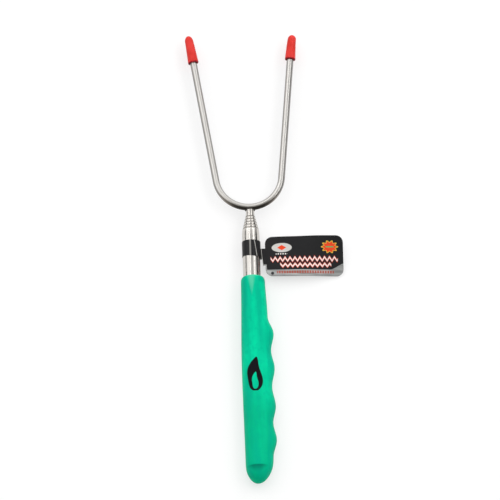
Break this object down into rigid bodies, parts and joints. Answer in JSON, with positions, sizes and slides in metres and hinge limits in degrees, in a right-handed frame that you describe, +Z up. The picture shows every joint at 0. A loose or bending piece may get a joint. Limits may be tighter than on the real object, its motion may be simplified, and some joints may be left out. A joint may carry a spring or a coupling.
{
  "type": "marshmallow roasting fork",
  "caption": "Telescoping roasting fork with a U-shaped two-tine rod, slip-on tip caps, nested sliding tubes, a finger-grooved grip and a hang tag.",
  "frame": {"origin": "on the shaft's centre line, at the middle of the grip's length, where the hand closes round it", "axes": "+Y along the shaft towards the tips, +Z up from the surface that the fork lies on, +X to the side that has the finger grooves"},
  "size_m": [0.0894, 0.2804, 0.0146],
  "materials": {
    "grip_green": "gloss",
    "tube_steel": "satin",
    "rod_steel": "satin",
    "weld_dark": "matte",
    "shim_brass": "satin",
    "plug_black": "matte",
    "cap_red": "satin",
    "tag_black": "gloss"
  },
  "bodies": {
    "handle": {"grip": "grip_green", "base_tube": "tube_steel", "end_plug": "plug_black"},
    "tube_2": {"section_2": "tube_steel", "shim_2_upper": "shim_brass", "shim_2_lower": "shim_brass"},
    "tube_3": {"section_3": "tube_steel", "shim_3_upper": "shim_brass", "shim_3_lower": "shim_brass"},
    "tube_4": {"section_4": "tube_steel", "shim_4_upper": "shim_brass", "shim_4_lower": "shim_brass"},
    "tube_5": {"section_5": "tube_steel", "shim_5_upper": "shim_brass", "shim_5_lower": "shim_brass"},
    "tip_shim": {"shim_6_upper": "shim_brass", "shim_6_lower": "shim_brass"},
    "tines": {"section_6": "tube_steel", "fork": "rod_steel", "weld_bead": "weld_dark"},
    "left_cap": {"left_cap": "cap_red"},
    "right_cap": {"right_cap": "cap_red"},
    "tag": {"hang_tag": "tag_black"}
  },
  "joints": [
    {"name": "tube_2_slide", "type": "slide", "parent": "handle", "child": "tube_2", "axis": [0, 1, 0], "range_m": [0, 0.116]},
    {"name": "tube_3_slide", "type": "slide", "parent": "tube_2", "child": "tube_3", "axis": [0, 1, 0], "range_m": [0, 0.1237]},
    {"name": "tube_4_slide", "type": "slide", "parent": "tube_3", "child": "tube_4", "axis": [0, 1, 0], "range_m": [0, 0.1254]},
    {"name": "tube_5_slide", "type": "slide", "parent": "tube_4", "child": "tube_5", "axis": [0, 1, 0], "range_m": [0, 0.1273]},
    {"name": "fork_slide", "type": "slide", "parent": "tube_5", "child": "tip_shim", "axis": [0, 1, 0], "range_m": [0, 0.1292]},
    {"name": "fork_twist", "type": "hinge", "parent": "tip_shim", "child": "tines", "pos_m": [0, 0, 0], "axis": [0, 1, 0], "continuous": true},
    {"name": "left_cap_pull", "type": "slide", "parent": "tines", "child": "left_cap", "axis": [-0.1495, 0.9888, 0], "range_m": [0, 0.045]},
    {"name": "right_cap_pull", "type": "slide", "parent": "tines", "child": "right_cap", "axis": [0.0976, 0.9952, 0], "range_m": [0, 0.045]},
    {"name": "tag_swivel", "type": "hinge", "parent": "handle", "child": "tag", "pos_m": [0, 0.0813, 0], "axis": [0, -1, 0], "continuous": true}
  ]
}
